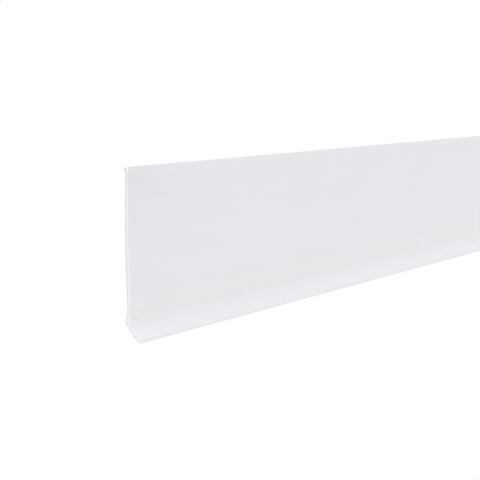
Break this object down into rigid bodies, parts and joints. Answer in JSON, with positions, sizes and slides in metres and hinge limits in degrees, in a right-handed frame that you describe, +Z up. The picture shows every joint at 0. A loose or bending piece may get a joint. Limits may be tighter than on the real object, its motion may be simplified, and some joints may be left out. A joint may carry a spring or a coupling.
{
  "type": "door sweep",
  "caption": "Self-adhesive door sweep strip: slim white panel with a soft sealing lip along its top and a flared soft sweep lip along its foot.",
  "frame": {"origin": "centre of the upper adhesive face, on the door's face and half way along the strip; the floor line is 81.5 mm below it", "axes": "+X along the strip, +Y into the door so the visible front faces -Y, +Z up"},
  "size_m": [1, 0.013, 0.1],
  "materials": {
    "rigid_pvc": "satin white, as extruded",
    "soft_pvc": "satin white, flexible",
    "foam_tape": "closed-cell foam, matte",
    "release_liner": "smooth siliconised film"
  },
  "bodies": {
    "carrier": {"carrier_panel": "rigid_pvc", "upper_tape": "foam_tape", "lower_tape": "foam_tape"},
    "top_lip": {"top_lip": "soft_pvc"},
    "sweep_lip": {"sweep_lip": "soft_pvc"},
    "upper_liner": {"upper_liner": "release_liner"},
    "lower_liner": {"lower_liner": "release_liner"}
  },
  "joints": [
    {"name": "sweep_lip_flex", "type": "hinge", "parent": "carrier", "child": "sweep_lip", "pos_m": [0, -0.002, -0.0698], "axis": [-1, 0, 0], "range_deg": [-20, 35], "stiffness_Nm_per_rad": 0.5},
    {"name": "top_lip_flex", "type": "hinge", "parent": "carrier", "child": "top_lip", "pos_m": [0, -0.0033, 0.0119], "axis": [1, 0, 0], "range_deg": [-8, 12], "stiffness_Nm_per_rad": 0.05},
    {"name": "upper_liner_peel", "type": "slide", "parent": "carrier", "child": "upper_liner", "axis": [0, 1, 0], "range_m": [0, 0.03]},
    {"name": "lower_liner_peel", "type": "slide", "parent": "carrier", "child": "lower_liner", "axis": [0, 1, 0], "range_m": [0, 0.03]}
  ]
}
